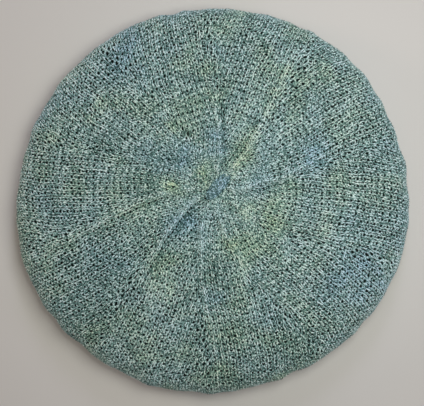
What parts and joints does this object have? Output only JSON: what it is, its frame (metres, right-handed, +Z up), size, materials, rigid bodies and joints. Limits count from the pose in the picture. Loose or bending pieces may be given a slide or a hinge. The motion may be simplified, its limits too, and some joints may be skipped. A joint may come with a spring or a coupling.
{
  "type": "knitted beret",
  "caption": "Hand-knitted beret with a flat round crown of swirling wedges, a rolled rim and a ribbed head band, lying crown up",
  "frame": {"origin": "on the surface that the beret lies on, below the middle of its outline", "axes": "+Z up out of the crown, +Y towards the top of the picture, +X to its right"},
  "size_m": [0.2776, 0.2717, 0.0272],
  "materials": {
    "heather_yarn": "heathered grey-green wool, matte"
  },
  "bodies": {
    "root": {"crown": "heather_yarn", "underside": "heather_yarn", "ribbed_band": "heather_yarn"}
  },
  "joints": []
}
